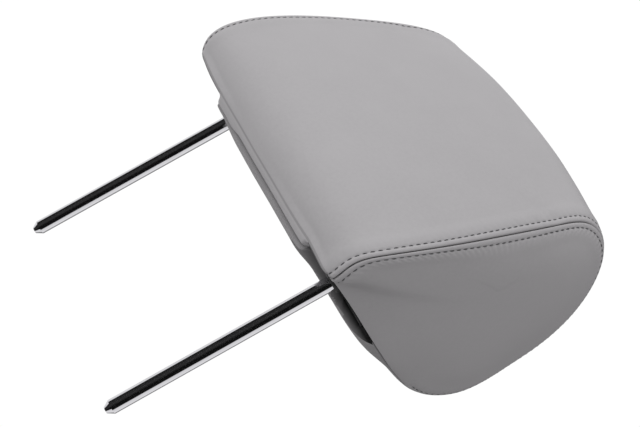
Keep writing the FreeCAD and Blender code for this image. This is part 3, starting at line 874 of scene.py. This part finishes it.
def make_cushion(materials):
    half = Half()
    g, s, pole = half.grid()
    g, pole = puff(half, g, s, pole)
    grids, turned_in = [], []
    for side in (1, -1):
        shaped = shape_details(half, g, s, side)
        shaped[:, 0, 0] = 0
        rolled, turned = roll_slot_edge(half, shaped, s, side)
        grids.append(rolled)
        turned_in.append(turned)
    verts, faces, kinds = cushion_mesh(grids, turned_in, pole, s, half)
    obj = mesh_object("cushion_cover", verts, faces, [materials[name] for name in COVER_MATERIALS], kinds)
    outward(obj)
    hollow_out(obj)
    obj.data.set_sharp_from_angle(angle=math.radians(SHARP_FROM))
    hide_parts("foam_front_pad", "foam_rear_pad", "cover_back_panel", "cover_front_panel",
                "cover_side_left", "cover_side_right", "cover_bottom_rear_flap", "cover_bottom_front_flap")
    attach(obj, "cushion")
    return half, grids, turned_in, s


def with_gap(low, high, gap=CAVITY_GAP):
    """A span in metres as millimetres, wider by the gap at both ends."""
    return low / MM - gap, high / MM + gap


def hollow_out(obj):
    """Makes room for the carrier, for the two slots that lead down from it and for the closure strips."""
    low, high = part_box("carrier_rear")
    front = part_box("carrier_front")[1]
    x, y, z = with_gap(low.x, high.x), with_gap(low.y, front.y), with_gap(low.z, front.z)
    outline = [(y[0], z[0]), (y[1], z[0]), (y[1], z[1]), (y[0] + CAVITY_FRONT_STEP, z[1]),
               (y[0] + CAVITY_BACK_STEP, z[1] - CAVITY_FRONT_STEP)]
    cut_away(obj, cutter_prism(outline, lambda q: (x[0], *q), lambda q: (x[1], *q)))
    top = z[0] + SLOT_CUT_PAST
    for name in ("slot_liner_right", "slot_liner_left"):
        low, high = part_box(name)
        outline = rounded_rectangle(with_gap(low.x, high.x), with_gap(low.y, high.y), SLOT_CORNER, 8)
        cut_away(obj, cutter_prism(outline, lambda q: (*q, SLOT_CUT_FROM_Z), lambda q: (*q, top)))
    low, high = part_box("closure_catch")
    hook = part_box("closure_hook")[0]
    x, z = with_gap(low.x, high.x, CLOSURE_CUT_GAP), with_gap(hook.z, high.z)
    outline = rounded_rectangle(x, with_gap(hook.y, high.y), CLOSURE_CUT_CORNER, 3)
    cut_away(obj, cutter_prism(outline, lambda q: (*q, z[0]), lambda q: (*q, z[1])))


def thread(line, up, length, place):
    """The rings of one short thread, which dips into the leather at both ends."""
    def on_line(values, at):
        return np.array([np.interp(at, length, values[:, k]) for k in range(3)])

    rings = []
    for i in range(THREAD_STEPS + 1):
        t = i / THREAD_STEPS
        at = place + (t - 0.5) * STITCH_LENGTH
        centre, n = on_line(line, at), on_line(up, at)
        run = on_line(line, at + THREAD_AHEAD) - centre
        run /= np.linalg.norm(run)
        wide = np.cross(run, n)
        arch = math.sin(math.pi * t) ** 0.5 if 0 < t < 1 else 0
        thick = THREAD_R * (THREAD_THIN_END + (1 - THREAD_THIN_END) * arch)
        centre = centre + n * (THREAD_RISE * arch - THREAD_SINK)
        angles = [2 * math.pi * k / THREAD_SIDES for k in range(THREAD_SIDES)]
        rings.append([centre + (wide * math.cos(a) + n * math.sin(a)) * thick for a in angles])
    return rings


def add_thread(verts, faces, rings, mirror):
    """Adds one thread as a closed tube."""
    start = len(verts)
    for ring in rings:
        verts.extend((p[0] * mirror * MM, p[1] * MM, p[2] * MM) for p in ring)
    for i in range(THREAD_STEPS):
        for k in range(THREAD_SIDES):
            a = start + i * THREAD_SIDES + k
            b = start + i * THREAD_SIDES + (k + 1) % THREAD_SIDES
            faces.append((a, b, b + THREAD_SIDES, a + THREAD_SIDES))
    last = start + THREAD_STEPS * THREAD_SIDES
    faces.append(tuple(range(start, start + THREAD_SIDES))[::-1])
    faces.append(tuple(range(last, last + THREAD_SIDES)))


def make_stitching(half, grids, turned_in, s, materials):
    """Two rows of topstitching beside each seam, as short threads, left out where the cover turns in."""
    share = stitched_share(half)
    verts, faces = [], []
    for g, turned, mirror in zip(grids, turned_in, (1, -1)):
        normal = grid_normals(g)
        for offset in (-STITCH_OFFSET, STITCH_OFFSET):
            column = int(np.argmin(np.abs(s - offset)))
            line = g[:, column]
            length = np.concatenate([[0], np.cumsum(np.linalg.norm(np.diff(line, axis=0), axis=1))])
            kept = (share > STITCHED_LEAST) & (turned[:, column] < TURNED_LEAST)
            for place in np.arange(STITCH_PITCH / 2, length[-1] - STITCH_PITCH / 2, STITCH_PITCH):
                if kept[np.abs(length - place) < STITCH_LENGTH].all():
                    add_thread(verts, faces, thread(line, normal[:, column], length, place), mirror)
    obj = mesh_object("cover_topstitching", verts, faces, [materials["thread"]])
    outward(obj)
    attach(obj, "cushion")


# ---------------------------------------------------------------- light, floor and background
FLOOR_Z = -0.06
FLOOR_HALF = 6.0
BACKDROP = 1.02
AMBIENT = 0.84
AMBIENT_SLOPE = 0.58
# What the chrome mirrors, once round from straight behind the object: a share of the turn and a brightness.
MIRRORED_ROOM = [(0.0, 0.75), (0.21, 0.78), (0.232, 0.006), (0.42, 0.03), (0.5, 0.004), (0.63, 0.006),
                 (0.65, 0.72), (0.82, 0.82), (0.845, 0.22), (1.0, 0.3)]
MIRRORED_TINT = 0.01
KEY_FROM = (-0.55, -0.72, 0.62)
KEY_AIM = (0, 0.03, 0.24)
KEY_DISTANCE = 1.9
KEY_SIZE = 1.1
KEY_POWER = 5


def make_world():
    """White behind the object, a soft graded light on it, and bright and dark bands for the chrome to mirror."""
    world = bpy.data.worlds.new("studio")
    bpy.context.scene.world = world
    world.use_nodes = True
    n = Nodes(world.node_tree)
    ray = n.add("ShaderNodeLightPath").outputs
    way = n.add("ShaderNodeTexCoord").outputs["Generated"]
    right, _, forward = directions(CAMERA_AZIMUTH, CAMERA_ELEVATION, 0)
    _, raised, _ = directions(CAMERA_AZIMUTH, CAMERA_ELEVATION, CAMERA_ROLL)

    def along(axis):
        node = n.add("ShaderNodeVectorMath", {"operation": "DOT_PRODUCT"})
        n.put(node.inputs[0], way)
        n.put(node.inputs[1], axis)
        return node.outputs["Value"]

    angle = n.compute("ARCTAN2", along(right), along(-forward))
    turn = n.compute("MULTIPLY_ADD", angle, 0.5 / math.pi, 0.5)
    mirrored = n.ramp(turn, [(place, grey(value, MIRRORED_TINT)) for place, value in MIRRORED_ROOM])
    soft = n.compute("MULTIPLY_ADD", along(raised), AMBIENT_SLOPE, AMBIENT)
    shown = n.mix(ray["Is Glossy Ray"], soft, mirrored)
    seen = n.mix(ray["Is Camera Ray"], shown, (BACKDROP, BACKDROP, BACKDROP, 1))
    background = n.add("ShaderNodeBackground", Color=seen)
    n.add("ShaderNodeOutputWorld", Surface=background.outputs["Background"])


def make_key_light():
    data = bpy.data.lights.new("key", "AREA")
    data.energy, data.size = KEY_POWER, KEY_SIZE
    data.shape = "DISK"
    light = bpy.data.objects.new("key", data)
    light.location = Vector(KEY_AIM) + Vector(KEY_FROM).normalized() * KEY_DISTANCE
    light.rotation_mode = "QUATERNION"
    light.rotation_quaternion = (Vector(KEY_AIM) - light.location).to_track_quat("-Z", "Y")
    bpy.context.scene.collection.objects.link(light)


def make_floor():
    """A pale floor that is open from below, so the underside can be looked at."""
    material, n, place = new_material("pale_floor")
    colour = n.ramp(n.blotches(place, 3.0, 2.0), [(0.3, grey(0.985)), (0.7, grey(1.0))])
    glow = n.add("ShaderNodeEmission", Color=colour, Strength=BACKDROP)
    clear = n.add("ShaderNodeBsdfTransparent")
    behind = n.add("ShaderNodeNewGeometry").outputs["Backfacing"]
    camera = n.add("ShaderNodeLightPath").outputs["Is Camera Ray"]
    hidden = n.compute("MAXIMUM", behind, n.compute("MULTIPLY_ADD", camera, -1.0, 1.0))
    mix = n.add("ShaderNodeMixShader", Fac=hidden)
    n.put(mix.inputs[1], glow.outputs["Emission"])
    n.put(mix.inputs[2], clear.outputs["BSDF"])
    n.add("ShaderNodeOutputMaterial", Surface=mix.outputs["Shader"])
    corners = ((-1, -1), (1, -1), (1, 1), (-1, 1))
    verts = [(x * FLOOR_HALF, y * FLOOR_HALF, FLOOR_Z) for x, y in corners]
    mesh_object("pale_floor", verts, [(0, 1, 2, 3)], [material])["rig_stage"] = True


make_camera()
make_world()
make_floor()
make_key_light()
materials = make_materials()
dress_cad(materials)
make_stitching(*make_cushion(materials), materials)
bpy.context.scene.view_settings.view_transform = "Standard"
